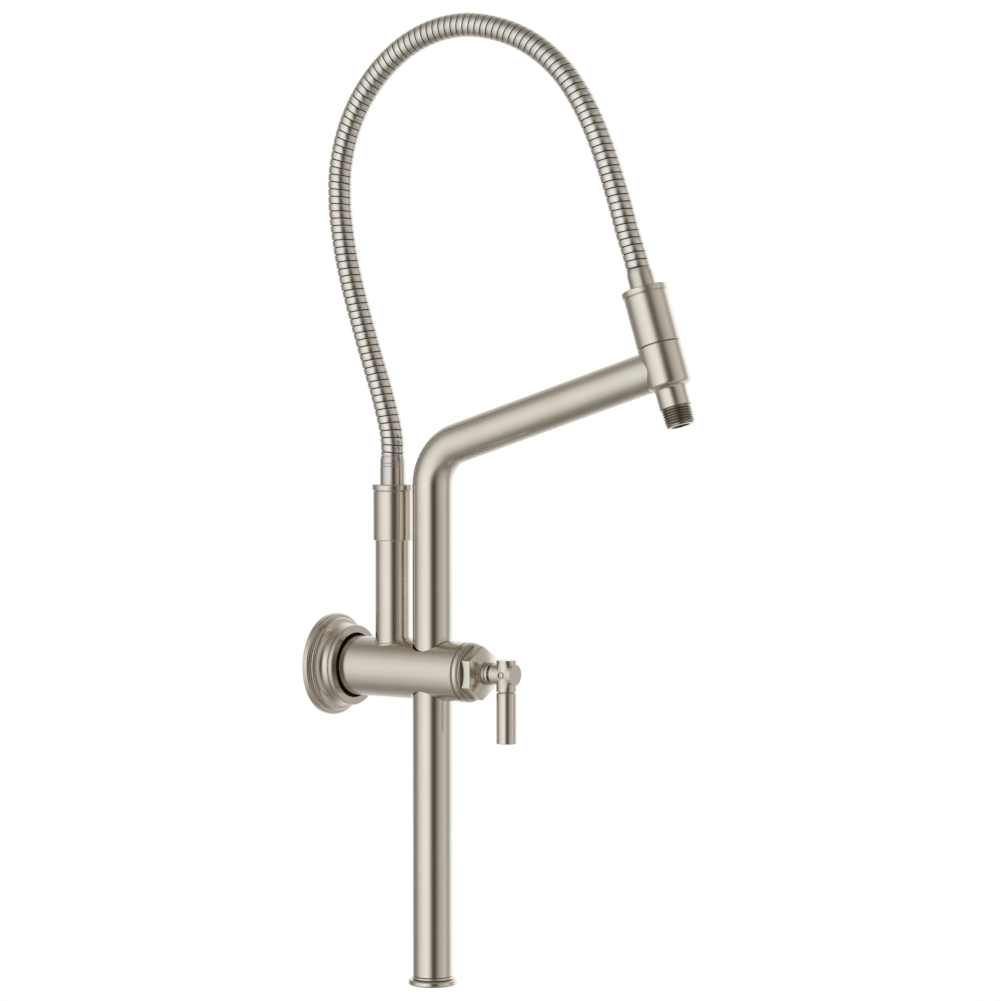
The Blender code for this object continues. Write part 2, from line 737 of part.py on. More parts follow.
def main():
    clear_scene()
    nickel = finish_of("brushed_nickel", (0.55, 0.51, 0.45), 0.3, 1.0)
    steel = finish_of("stainless_steel", (0.5, 0.48, 0.45), 0.28, 1.0)
    brass = finish_of("plain_brass", (0.6, 0.45, 0.22), 0.35, 1.0)
    spring = finish_of("spring_steel", (0.12, 0.12, 0.12), 0.4, 1.0)
    plastic = finish_of("black_acetal", (0.015, 0.015, 0.015), 0.45, 0.0)
    rubber = finish_of("black_rubber", (0.02, 0.02, 0.02), 0.7, 0.0)
    outward = (math.radians(90), 0, 0)
    wall = axis_empty("wall_axis", turn=outward)
    front = axis_empty("clamp_axis", wall, (0, 0, COLUMN_REACH))
    column_axis = axis_empty("column_axis", at=(0, -COLUMN_REACH, 0))
    riser_axis = axis_empty("riser_axis", at=(0, RISER_BEHIND - COLUMN_REACH, 0))
    reach = ARM_LENGTH * math.cos(ARM_RISE)
    height = BEND_HEIGHT + ARM_LENGTH * math.sin(ARM_RISE)
    outlet_axis = axis_empty("outlet_axis", column_axis, (0, -reach, height), (-ARM_RISE, 0, 0))
    make_flange(wall, nickel, rubber)
    make_nipple(wall, brass)
    make_body(wall, riser_axis, column_axis, nickel)
    make_riser(riser_axis, nickel)
    make_guide(column_axis, plastic, spring)
    make_clamp(front, column_axis, plastic, brass, steel, rubber)
    make_bonnet(front, nickel, steel)
    make_handle(front, nickel, steel)
    make_column(column_axis, outlet_axis, nickel)
    make_foot(column_axis, nickel)
    make_outlet(outlet_axis, nickel)
    low_end = make_hose_end(
        "lower", riser_axis, RISER_TOP, LOWER_NUT_RADIUS, LOWER_BARREL, nickel, steel, rubber
    )
    seat = OUTLET_TOP + SPIGOT_LENGTH
    high_end = make_hose_end(
        "upper", outlet_axis, seat, UPPER_NUT_RADIUS, UPPER_BARREL, nickel, steel, rubber
    )
    start = Vector((0, RISER_BEHIND - COLUMN_REACH, low_end + GAP))
    outlet_way = Matrix.Rotation(-ARM_RISE, 3, "X") @ Vector((0, 0, 1))
    end = Vector((0, -COLUMN_REACH - reach, height)) + outlet_way * (high_end + GAP)
    make_hose(start, end, -outlet_way, steel)


main()
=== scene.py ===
import json
import math

import bpy
from mathutils import Matrix, Vector


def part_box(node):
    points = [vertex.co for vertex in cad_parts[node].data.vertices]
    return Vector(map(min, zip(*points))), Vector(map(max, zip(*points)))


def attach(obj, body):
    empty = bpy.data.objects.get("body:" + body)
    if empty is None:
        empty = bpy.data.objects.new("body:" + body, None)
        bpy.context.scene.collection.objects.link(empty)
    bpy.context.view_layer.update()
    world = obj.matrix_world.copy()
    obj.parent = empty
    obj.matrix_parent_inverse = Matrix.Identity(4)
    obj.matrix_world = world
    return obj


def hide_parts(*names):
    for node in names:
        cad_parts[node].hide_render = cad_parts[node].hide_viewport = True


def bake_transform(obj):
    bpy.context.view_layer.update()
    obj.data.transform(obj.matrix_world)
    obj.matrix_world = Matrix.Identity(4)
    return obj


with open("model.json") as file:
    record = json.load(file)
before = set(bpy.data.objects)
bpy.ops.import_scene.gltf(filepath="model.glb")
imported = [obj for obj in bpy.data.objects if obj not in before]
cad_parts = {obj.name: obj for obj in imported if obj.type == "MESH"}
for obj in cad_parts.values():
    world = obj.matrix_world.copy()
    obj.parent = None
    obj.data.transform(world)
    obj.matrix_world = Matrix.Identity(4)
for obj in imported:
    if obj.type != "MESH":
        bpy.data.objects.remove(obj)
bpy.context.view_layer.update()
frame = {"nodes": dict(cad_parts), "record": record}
print("frame loaded")

mm = 0.001
gap = 0.3  # what two touching pieces keep between them, in mm
outward = Matrix.Rotation(math.radians(90), 4, "X")  # a piece's own Z turns to face the room


def middleOf(node):
    low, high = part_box(node)
    return (low + high) / 2


mounts = {mount["name"]: mount for mount in frame["record"]["mounts"]}
outletWay = -Vector(mounts["outlet_end"]["axis"]).normalized()  # up through the outlet to the hose
armRise = math.atan2(outletWay.y, outletWay.z)
columnY = middleOf("foot_cap").y
riserY = middleOf("riser_tube").y
outletEnd = Vector(mounts["outlet_end"]["pos_m"])
outletEnd.x = 0
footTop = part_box("column_tube")[0].z

# camera

cameraFacts = {
    "place": (-2.32106, -1.76331, 0.271312),
    "tilt": 87.0084,
    "turn": -55.1736,
    "lens": 144.0,
    "sensor": 36.0,
    "reach": 50.0,
}
cameraData = bpy.data.cameras.new("camera")
cameraData.sensor_fit = "HORIZONTAL"
cameraData.sensor_width = cameraFacts["sensor"]
cameraData.lens = cameraFacts["lens"]
cameraData.clip_end = cameraFacts["reach"]
camera = bpy.data.objects.new("camera", cameraData)
camera.location = cameraFacts["place"]
camera.rotation_euler = (
    math.radians(cameraFacts["tilt"]), 0, math.radians(cameraFacts["turn"]),
)
bpy.context.scene.collection.objects.link(camera)
bpy.context.scene.camera = camera

# materials

# the width of a patch of tone and the depth of a tool mark, in mm
finishFacts = {"cloud": 35.0, "markDepth": 0.05}


# sRGB hex to the linear colour that a shader takes
def linear(hexColour):
    parts = [int(hexColour[i:i + 2], 16) / 255 for i in (1, 3, 5)]
    curved = [p / 12.92 if p <= 0.04045 else ((p + 0.055) / 1.055) ** 2.4 for p in parts]
    return (*curved, 1.0)


# One node with its settings, and its inputs set or linked by name
def addNode(tree, kind, settings=None, links=None):
    node = tree.nodes.new(kind)
    for name, value in (settings or {}).items():
        setattr(node, name, value)
    for name, value in (links or {}).items():
        if isinstance(value, bpy.types.NodeSocket):
            tree.links.new(value, node.inputs[name])
        else:
            node.inputs[name].default_value = value
    return node


def rampStops(node, stops):
    ramp = node.color_ramp
    while len(ramp.elements) > 1:
        ramp.elements.remove(ramp.elements[-1])
    ramp.elements[0].position, ramp.elements[0].color = stops[0]
    for place, colour in stops[1:]:
        ramp.elements.new(place).color = colour


# A worked metal: a slow change of tone, uneven gloss, and tool marks. The grain is their spacing in mm,
# several times the real one, because the real marks are too fine to show
def metalFinish(name, light, dark, roughness, spread, grain, bump, stretch=(1, 1, 1)):
    material = bpy.data.materials.new(name)
    material.use_nodes = True
    tree = material.node_tree
    shader = tree.nodes["Principled BSDF"]
    shader.inputs["Metallic"].default_value = 1.0
    place = addNode(tree, "ShaderNodeTexCoord").outputs["Object"]
    cloud = addNode(tree, "ShaderNodeTexNoise", None, {
        "Vector": place, "Scale": 1 / (finishFacts["cloud"] * mm), "Detail": 3.0, "Roughness": 0.55,
    })
    tone = addNode(tree, "ShaderNodeValToRGB", None, {"Fac": cloud.outputs["Fac"]})
    rampStops(tone, [(0.3, linear(dark)), (0.7, linear(light))])
    tree.links.new(tone.outputs["Color"], shader.inputs["Base Color"])
    turned = addNode(tree, "ShaderNodeMapping", None, {"Vector": place, "Scale": stretch})
    marks = addNode(tree, "ShaderNodeTexNoise", None, {
        "Vector": turned.outputs["Vector"], "Scale": 1 / (grain * mm),
        "Detail": 4.0, "Roughness": 0.6,
    })
    gloss = addNode(tree, "ShaderNodeMapRange", None, {
        "Value": marks.outputs["Fac"], "From Min": 0.3, "From Max": 0.7,
        "To Min": roughness - spread, "To Max": roughness + spread,
    })
    tree.links.new(gloss.outputs["Result"], shader.inputs["Roughness"])
    relief = addNode(tree, "ShaderNodeBump", None, {
        "Strength": bump, "Distance": finishFacts["markDepth"] * mm, "Height": marks.outputs["Fac"],
    })
    tree.links.new(relief.outputs["Normal"], shader.inputs["Normal"])
    return material


# A rubber or plastic: a matt skin with a fine pebble, and no metal in it
def softFinish(name, light, dark, roughness, spread, grain, bump):
    material = metalFinish(name, light, dark, roughness, spread, grain, bump)
    shader = material.node_tree.nodes["Principled BSDF"]
    shader.inputs["Metallic"].default_value = 0.0
    shader.inputs["IOR"].default_value = 1.5
    return material


# satin nickel plate over brass: warm grey, soft-edged reflections, a faint brushed haze
satinNickel = metalFinish("satinNickel", "#D8D1C6", "#D4CCC0", 0.18, 0.02, 0.6, 0.02)
# the same plate on the drawn column, whose fine polishing marks run upright
drawnNickel = metalFinish("drawnNickel", "#D8D1C6", "#D4CCC0", 0.16, 0.02, 0.5, 0.03, (1, 1, 0.04))
# stripwound stainless steel of the hose: a little paler than the plate, its gloss uneven from the rolls
hoseSteel = metalFinish("hoseSteel", "#DFDAD1", "#D6D0C6", 0.2, 0.04, 0.8, 0.05)
# the same strip down in the grooves, darkened as painted shade between the bands
grooveShade = metalFinish("grooveShade", "#4A463F", "#35322C", 0.4, 0.06, 0.8, 0.05)
# turned stainless steel of the ferrules, washer, spindle and grub screw: fine turning marks
turnedSteel = metalFinish("turnedSteel", "#D3CEC6", "#C9C3BA", 0.18, 0.04, 0.5, 0.08)
# the cut thread: the plate is thin and dull on it
cutThread = metalFinish("cutThread", "#A89E90", "#877D70", 0.3, 0.05, 0.4, 0.1)
# bare turned brass of the nipple and the clamp shoe: yellow, with a broad soft shine
turnedBrass = metalFinish("turnedBrass", "#D9B978", "#C6A25F", 0.28, 0.06, 0.7, 0.1)
# oiled spring steel of the snap rings, a dark grey with a dull shine
oiledSteel = metalFinish("oiledSteel", "#4A4743", "#34322F", 0.35, 0.06, 0.8, 0.1)
# machined black acetal of the guide sleeve and thrust washer: a soft sheen
blackAcetal = softFinish("blackAcetal", "#1B1A19", "#141312", 0.42, 0.06, 0.6, 0.1)
# moulded black nitrile rubber of the seals: nearly no shine
sealRubber = softFinish("sealRubber", "#1E1D1C", "#151413", 0.65, 0.08, 0.4, 0.2)
print("materials made")

# modelling helpers

mergeWithin = 0.002 * mm  # points closer than this become one


def deselectAll():
    if bpy.context.mode != "OBJECT":
        bpy.ops.object.mode_set(mode="OBJECT")
    bpy.ops.object.select_all(action="DESELECT")


def only(piece):
    deselectAll()
    piece.select_set(True)
    bpy.context.view_layer.objects.active = piece


# Selects these vertices, and nothing else, ready for edit mode
def pickVertices(piece, indices):
    only(piece)
    for part in (*piece.data.vertices, *piece.data.edges, *piece.data.polygons):
        part.select = False
    for index in indices:
        piece.data.vertices[index].select = True


# Moves the mesh to its place and leaves the object at the origin
def settle(piece, place):
    only(piece)
    piece.matrix_world = place
    bpy.context.view_layer.update()
    bpy.ops.object.transform_apply(location=True, rotation=True, scale=True)


def softenEdges(piece, width, sharperThan=30, segments=2):
    only(piece)
    modifier = piece.modifiers.new("edges", "BEVEL")
    modifier.limit_method = "ANGLE"
    modifier.angle_limit = math.radians(sharperThan)
    modifier.width = width * mm
    modifier.segments = segments
    bpy.ops.object.modifier_apply(modifier=modifier.name)


def cleanUp(piece, smoothBelow=35):
    only(piece)
    bpy.ops.object.mode_set(mode="EDIT")
    bpy.ops.mesh.select_all(action="SELECT")
    bpy.ops.mesh.remove_doubles(threshold=mergeWithin)
    bpy.ops.mesh.normals_make_consistent(inside=False)
    bpy.ops.object.mode_set(mode="OBJECT")
    bpy.ops.object.shade_smooth_by_angle(angle=math.radians(smoothBelow))


# Spins an outline of (radius, height) points, in mm, round Z. A ring's outline is closed
def turnOnLathe(name, outline, steps=96, edge=0.12, smoothBelow=35):
    deselectAll()
    bpy.ops.mesh.primitive_plane_add(size=0.01, location=(0, 0, 0))
    piece = bpy.context.object
    piece.name = name
    piece.data.name = name
    bpy.ops.object.mode_set(mode="EDIT")
    bpy.ops.mesh.select_all(action="SELECT")
    bpy.ops.mesh.merge(type="CENTER")
    points = [Vector((radius, 0, height)) * mm for radius, height in outline]
    bpy.ops.transform.translate(value=points[0])
    for before, after in zip(points, points[1:]):
        bpy.ops.mesh.extrude_vertices_move(TRANSFORM_OT_translate={"value": after - before})
    if outline[0][0] > 0 or outline[-1][0] > 0:
        bpy.ops.object.mode_set(mode="OBJECT")
        pickVertices(piece, (0, len(points) - 1))
        bpy.ops.object.mode_set(mode="EDIT")
        bpy.ops.mesh.edge_face_add()
    bpy.ops.mesh.select_all(action="SELECT")
    bpy.ops.mesh.spin(steps=steps, angle=2 * math.pi, center=(0, 0, 0), axis=(0, 0, 1))
    bpy.ops.object.mode_set(mode="OBJECT")
    cleanUp(piece, smoothBelow)
    if edge:
        softenEdges(piece, edge)
        cleanUp(piece, smoothBelow)
    return piece


def cutWith(piece, tool, operation="DIFFERENCE"):
    only(piece)
    modifier = piece.modifiers.new("cut", "BOOLEAN")
    modifier.operation = operation
    modifier.solver = "EXACT"
    modifier.object = tool
    bpy.ops.object.modifier_apply(modifier=modifier.name)
    bpy.data.objects.remove(tool, do_unlink=True)


# A plain round tool for a cut or a join, from low to high on Z, in mm
def rod(radius, low, high, vertices=96):
    deselectAll()
    bpy.ops.mesh.primitive_cylinder_add(
        vertices=vertices, radius=radius * mm, depth=(high - low) * mm,
        location=(0, 0, (low + high) / 2 * mm),
    )
    bpy.ops.object.transform_apply(location=True, rotation=True, scale=True)
    return bpy.context.object


# Cuts with a round rod, or joins it on, once the rod is in its place
def cutWithRod(piece, place, radius, low, high, vertices=96, operation="DIFFERENCE"):
    tool = rod(radius, low, high, vertices)
    settle(tool, place)
    cutWith(piece, tool, operation)


# Points of an arc in an outline, with angles in degrees from the radius axis
def arc(centre, radius, start, end, count):
    angles = [math.radians(start + (end - start) * i / count) for i in range(count + 1)]
    return [(centre[0] + radius * math.cos(a), centre[1] + radius * math.sin(a)) for a in angles]


def finished(piece, material, body, *nodes, slot="brushed_nickel"):
    piece.data.materials.clear()
    piece.data.materials.append(material)
    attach(piece, body)
    if nodes:
        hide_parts(*nodes)


# the sizes of the hose's ends, which also place the hose, in mm

nutFacts = {"radius": 14.1, "upperRadius": 15.4, "height": 40.5, "seat": 25.2, "bore": 12.95, "mouth": 9.5,
            "rim": 4.2, "rimStep": 0.75}
ferruleFacts = {"seat": 2.6, "shoulder": 5.0, "flange": 12.35, "radius": 9.15, "bore": 5.5,
                "lowerBarrel": 28.2, "upperBarrel": 21.8}
outletFacts = {"radius": 15.4, "top": 15.35, "bottom": 12.8, "neck": 11.1, "neckEnd": 29.0, "bore": 6.4,
               "pipe": 12.65, "pipeBore": 6.5, "pipeTop": 40.85}
threadFacts = {"radius": 10.67, "pitch": 1.814, "turns": 7, "depth": 1.0, "taper": 1 / 32, "runOut": 0.9,
               "wound": 6.1, "stepsPerTurn": 48}
threadLength = threadFacts["turns"] * threadFacts["pitch"]  # the ridge is wound a little less far
armCross = outletEnd + outletWay * (outletFacts["neckEnd"] + threadLength + threadFacts["runOut"]) * mm
upperSeat = outletFacts["top"] + nutFacts["seat"] + gap

wallPlace = outward
frontPlace = Matrix.Translation((0, columnY, 0)) @ outward
riserPlace = Matrix.Translation((0, riserY, 0))
columnPlace = Matrix.Translation((0, columnY, 0))
outletPlace = Matrix.Translation(armCross) @ Matrix.Rotation(-armRise, 4, "X")

# hose

hoseFacts = {
    "radius": 8.5,
    "band": 5.25,
    "groove": 0.58,
    "grooveDepth": 1.1,
    "sides": 40,
    "grooveWall": 0.12,
    "crownCorner": 0.3,
    "crownDrop": 0.1,
    "stepsPerSpan": 24,
}
# the hose's route in metres: the lower length ends, and the upper one starts, at routeMiddle
lowerRoute = (
    (-0.0002, -0.0530, 0.1715),
    (-0.0007, -0.0497, 0.1848),
    (-0.0020, -0.0442, 0.2048),
    (-0.0030, -0.0401, 0.2181),
    (-0.0046, -0.0342, 0.2380),
    (-0.0061, -0.0287, 0.2579),
    (-0.0073, -0.0233, 0.2779),
    (-0.0079, -0.0186, 0.2982),
    (-0.0079, -0.0150, 0.3187),
)
routeMiddle = (-0.0073, -0.0128, 0.3394)
upperRoute = (
    (-0.0062, -0.0128, 0.3602),
    (-0.0048, -0.0165, 0.3806),
    (-0.0031, -0.0237, 0.4002),
    (-0.0016, -0.0347, 0.4182),
    (-0.0005, -0.0498, 0.4343),
    (0.0, -0.0686, 0.4473),
    (0.0, -0.0913, 0.4562),
    (0.0, -0.1163, 0.4598),
    (0.0, -0.1414, 0.4570),
    (0.0, -0.1651, 0.4495),
    (0.0, -0.1858, 0.4379),
    (0.0, -0.2030, 0.4230),
    (0.0, -0.2163, 0.4060),
    (0.0, -0.2270, 0.3878),
    (0.0, -0.2357, 0.3691),
    (0.0, -0.2431, 0.3502),
    (0.0, -0.2498, 0.3311),
    (0.0, -0.2559, 0.3120),
)


def mix(a, b, start, end, t):
    return a + (b - a) * ((t - start) / (end - start))


# Close-set points on a centripetal Catmull-Rom curve through the route
def smoothLine(points):
    knots = [2 * points[0] - points[1], *points, 2 * points[-1] - points[-2]]
    dense = [points[0]]
    for before, start, end, after in zip(knots, knots[1:], knots[2:], knots[3:]):
        times = [0.0]
        for a, b in ((before, start), (start, end), (end, after)):
            times.append(times[-1] + math.sqrt((b - a).length))
        for step in range(1, hoseFacts["stepsPerSpan"] + 1):
            t = times[1] + (times[2] - times[1]) * step / hoseFacts["stepsPerSpan"]
            a1 = mix(before, start, times[0], times[1], t)
            a2 = mix(start, end, times[1], times[2], t)
            a3 = mix(end, after, times[2], times[3], t)
            b1 = mix(a1, a2, times[0], times[2], t)
            b2 = mix(a2, a3, times[1], times[3], t)
            dense.append(mix(b1, b2, times[1], times[2], t))
    return dense


# A route that leaves one end straight and meets the other end straight
def hoseLine(start, startWay, route, end, endWay):
    stub = hoseFacts["radius"] * mm
    inner = [start + startWay * stub, *[Vector(p) for p in route], end - endWay * stub]
    return [start, *smoothLine(inner), end]


# Running length, place and a pair of cross directions that never twist, along a line
def framesAlong(line):
    ways = [(b - a).normalized() for a, b in zip(line, line[1:])]
    ways = [ways[0], *[(a + b).normalized() for a, b in zip(ways, ways[1:])], ways[-1]]
    side = Vector((1, 0, 0))
    frames = []
    run = 0.0
    for i, (place, way) in enumerate(zip(line, ways)):
        run += (place - line[i - 1]).length if i else 0.0
        side = (side - way * side.dot(way)).normalized()
        frames.append((run, place, side, way.cross(side)))
    return frames


def frameAt(frames, run):
    low, high = 0, len(frames) - 1
    while high - low > 1:
        middle = (low + high) // 2
        if frames[middle][0] <= run:
            low = middle
        else:
            high = middle
    first, last = frames[low], frames[high]
    t = (run - first[0]) / (last[0] - first[0])
    return tuple(a.lerp(b, t) for a, b in zip(first[1:], last[1:]))


# (part of the band, outer radius in mm) from one groove to the next: flat crowns, square grooves
def bandProfile():
    facts = hoseFacts
    half = facts["groove"] / facts["band"] / 2
    wall = facts["grooveWall"] / facts["band"]
    corner = facts["crownCorner"] / facts["band"]
    crown = facts["radius"]
    rising = [
        (0.0, crown - facts["grooveDepth"]),
        (half, crown - facts["grooveDepth"]),
        (half + wall, crown - facts["crownDrop"]),
        (half + wall + corner, crown),
    ]
    return [*rising, (0.5, crown), *[(1 - part, radius) for part, radius in reversed(rising[1:])]]


def radiusAt(profile, part):
    for (low, inner), (high, outer) in zip(profile, [*profile[1:], (1.0, profile[0][1])]):
        if part <= high:
            return inner + (outer - inner) * (part - low) / (high - low)
    return profile[0][1]


# A tube with a helical groove, cut square at both ends. It returns the piece and its path
def stripwoundHose(name, line, phase):
    frames = framesAlong(line)
    length = frames[-1][0]
    sides = hoseFacts["sides"]
    band = hoseFacts["band"] * mm
    phase %= band
    profile = bandProfile()
    parts = [part for part, _ in profile]
    perTurn = len(parts)
    turns = math.ceil(length / band) + 2
    rows = range(-2 * perTurn, turns * perTurn)
    vertices = []
    for row in rows:
        turn, step = divmod(row, perTurn)
        for j in range(sides):
            run = (turn + parts[step] + j / sides) * band - phase
            held = min(max(run, 0.0), length)
            part = ((held + phase) / band - j / sides) % 1.0
            radius = (radiusAt(profile, part) if run != held else profile[step][1]) * mm
            place, side, up = frameAt(frames, held)
            angle = -2 * math.pi * j / sides
            vertices.append(place + (side * math.cos(angle) + up * math.sin(angle)) * radius)
    faces = []
    inGroove = []
    count = len(rows)
    for row in range(count - 1):
        for j in range(sides - 1):
            first = row * sides + j
            faces.append((first, first + 1, first + sides + 1, first + sides))
        turnOn = row + perTurn  # the seam joins this row to the same row of the next turn
        if turnOn + 1 < count:
            first = row * sides + sides - 1
            faces.append((first, turnOn * sides, (turnOn + 1) * sides, first + sides))
        # faces at the groove bottom take the second material, whose dark colour is painted shade
        bottom = row % perTurn in (0, perTurn - 1)
        inGroove += [int(bottom)] * (len(faces) - len(inGroove))
    mesh = bpy.data.meshes.new(name)
    mesh.from_pydata([tuple(v) for v in vertices], [], faces)
    mesh.materials.append(hoseSteel)
    mesh.materials.append(grooveShade)
    mesh.polygons.foreach_set("material_index", inGroove)
    piece = bpy.data.objects.new(name, mesh)
    bpy.context.scene.collection.objects.link(piece)
    only(piece)
    bpy.ops.object.mode_set(mode="EDIT")
    bpy.ops.mesh.select_all(action="SELECT")
    bpy.ops.mesh.remove_doubles(threshold=2 * mergeWithin)
    bpy.ops.mesh.dissolve_degenerate(threshold=2 * mergeWithin)
    bpy.ops.mesh.delete_loose()
    bpy.ops.mesh.select_all(action="SELECT")
    bpy.ops.mesh.fill_holes(sides=0)
    bpy.ops.object.mode_set(mode="OBJECT")
    cleanUp(piece, 40)
    path = [tuple(place) for _, place, _, _ in frames]
    return piece, path, length


hoseStart = Vector((0, riserY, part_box("lower_ferrule")[1].z + gap * mm))
hoseEnd = armCross + outletWay * (upperSeat + ferruleFacts["seat"] + ferruleFacts["shoulder"]
                                  + ferruleFacts["upperBarrel"] + gap) * mm
fadeEnd = Vector((0, -0.268, 0.34))  # a point on the upper length, where it comes to the column
middle = Vector(routeMiddle)
middleWay = (Vector(upperRoute[0]) - Vector(lowerRoute[-1])).normalized()
lowerLine = hoseLine(hoseStart, Vector((0, 0, 1)), lowerRoute, middle, middleWay)
upperLine = hoseLine(middle, middleWay, upperRoute, hoseEnd, -outletWay)
hoseLower, lowerPath, lowerLength = stripwoundHose("hoseLower", lowerLine, 0.0)
hoseUpper, upperPath, upperLength = stripwoundHose("hoseUpper", upperLine, lowerLength)
for hose, node, bodies, start, end, path, length in (
    (hoseLower, "hose_lower", ("root", "guide"), hoseStart, middle, lowerPath, lowerLength),
    (hoseUpper, "hose_upper", ("guide", "column"), middle, fadeEnd, upperPath, upperLength),
):
    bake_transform(hose)
    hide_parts(node)
print("hose made", round(lowerLength + upperLength, 4))

# wall flange and body

riserFacts = {"radius": 12.65, "wall": 1.5, "seat": 8.3, "top": 117.3}
flangeFacts = {"radius": 36.9, "rim": 4.6, "step": 33.9, "depth": 20.6, "lip": 29.2, "bore": 23.6,
               "round": 0.9, "coveRadius": 6.35, "coveHeight": 14.0, "wall": 2.7, "boreStart": 9.5}
wallFlange = turnOnLathe("wallFlange", [
    (flangeFacts["radius"], 0),
    (flangeFacts["radius"], flangeFacts["rim"] - flangeFacts["round"]),
    (flangeFacts["radius"] - flangeFacts["round"], flangeFacts["rim"]),
    (flangeFacts["step"], flangeFacts["rim"]),
    (flangeFacts["step"], flangeFacts["rim"] + 2.0),
    *arc((flangeFacts["step"] - 1.0, flangeFacts["coveHeight"]), flangeFacts["coveRadius"], 270, 150, 24),
    (flangeFacts["lip"], flangeFacts["depth"] - 2.6),
    (flangeFacts["lip"], flangeFacts["depth"] - 0.5),
    (flangeFacts["lip"] - 0.5, flangeFacts["depth"]),
    (flangeFacts["bore"], flangeFacts["depth"]),
    (flangeFacts["bore"], flangeFacts["boreStart"]),
    (flangeFacts["step"] - 3.0, flangeFacts["rim"]),
    (flangeFacts["radius"] - flangeFacts["wall"], 2.2),
    (flangeFacts["radius"] - flangeFacts["wall"], 0),
], steps=128, edge=0.18)
settle(wallFlange, wallPlace)
finished(wallFlange, satinNickel, "flange", "wall_flange")

barrelFacts = {"radius": 21.5, "front": 120.25, "back": 8.0, "seat": 20.3, "seatAt": 15.1, "seatHalf": 1.5,
               "waterway": 10.95, "waterwayEnd": 69.1, "clampBore": 11.3, "clampBoreEnd": 92.6,
               "columnBore": 16.0, "snapGroove": 16.8, "snapLow": 11.1, "snapHigh": 12.7}
bodyBarrel = turnOnLathe("bodyBarrel", [
    (0, barrelFacts["waterwayEnd"]),
    (barrelFacts["waterway"], barrelFacts["waterwayEnd"]),
    (barrelFacts["waterway"], barrelFacts["back"]),
    (barrelFacts["radius"] - 0.6, barrelFacts["back"]),
    (barrelFacts["radius"], barrelFacts["back"] + 0.6),
    (barrelFacts["radius"], barrelFacts["seatAt"] - barrelFacts["seatHalf"]),
    (barrelFacts["seat"], barrelFacts["seatAt"] - barrelFacts["seatHalf"]),
    (barrelFacts["seat"], barrelFacts["seatAt"] + barrelFacts["seatHalf"]),
    (barrelFacts["radius"], barrelFacts["seatAt"] + barrelFacts["seatHalf"]),
    (barrelFacts["radius"], barrelFacts["front"] - 0.3),
    (barrelFacts["radius"] - 0.3, barrelFacts["front"]),
    (barrelFacts["clampBore"], barrelFacts["front"]),
    (barrelFacts["clampBore"], barrelFacts["clampBoreEnd"]),
    (0, barrelFacts["clampBoreEnd"]),
], steps=128, edge=0)
settle(bodyBarrel, wallPlace)
past = 27  # the cutters run this far, past the body's skin
snapGrooves = []
for low, high in (
    (-barrelFacts["snapHigh"], -barrelFacts["snapLow"]),
    (barrelFacts["snapLow"], barrelFacts["snapHigh"]),
):
    snapGrooves += [
        (barrelFacts["columnBore"], low), (barrelFacts["snapGroove"], low),
        (barrelFacts["snapGroove"], high), (barrelFacts["columnBore"], high),
    ]
crossBore = turnOnLathe("crossBore", [
    (0, -past), (barrelFacts["columnBore"], -past), *snapGrooves,
    (barrelFacts["columnBore"], past), (0, past),
], edge=0)
settle(crossBore, columnPlace)
cutWith(bodyBarrel, crossBore)
cutWithRod(bodyBarrel, riserPlace, riserFacts["radius"] + gap, riserFacts["seat"] - gap, past)
softenEdges(bodyBarrel, 0.3, 40, 3)
cleanUp(bodyBarrel)
finished(bodyBarrel, satinNickel, "root", "body_barrel")

riserTube = turnOnLathe("riserTube", [
    (riserFacts["radius"] - riserFacts["wall"], riserFacts["seat"]),
    (riserFacts["radius"], riserFacts["seat"]),
    (riserFacts["radius"], riserFacts["top"]),
    (riserFacts["radius"] - riserFacts["wall"], riserFacts["top"]),
], edge=0.3)
settle(riserTube, riserPlace)
finished(riserTube, satinNickel, "root", "riser_tube")

# the brazed fillet where the riser stands on the body
beadFacts = {"width": 0.9, "rise": 0.8, "bite": 0.1, "round": 0.45}
brazeBead = rod(riserFacts["radius"] + beadFacts["width"], 8, 26)
brazeBead.name = "brazeBead"
settle(brazeBead, riserPlace)
cutWithRod(brazeBead, wallPlace, barrelFacts["radius"] + beadFacts["rise"], 25, 85, 128, "INTERSECT")
cutWithRod(brazeBead, wallPlace, barrelFacts["radius"] - beadFacts["bite"], 20, 90, 128)
cutWithRod(brazeBead, riserPlace, riserFacts["radius"] - beadFacts["bite"], 0, 30)
softenEdges(brazeBead, beadFacts["round"], 50, 2)
cleanUp(brazeBead, 60)
finished(brazeBead, satinNickel, "root")
print("body made")

# hose ends


def hoseNut(name, radius, start):
    bore, mouth = nutFacts["bore"], nutFacts["mouth"]
    top = start + nutFacts["height"]
    rim = top - nutFacts["rim"]
    rimRadius = radius + nutFacts["rimStep"]
    plate = start + nutFacts["seat"] + ferruleFacts["seat"] + ferruleFacts["shoulder"] + 2 * gap
    return turnOnLathe(name, [
        (bore, start), (radius - 0.5, start), (radius, start + 0.5),
        (radius, rim - 0.8), (radius - 0.4, rim - 0.5), (radius - 0.4, rim - 0.1),
        (rimRadius, rim + 0.2), (rimRadius, top - 0.5), (rimRadius - 0.5, top),
        (mouth, top), (mouth, plate), (bore, plate),
    ], edge=0.15)


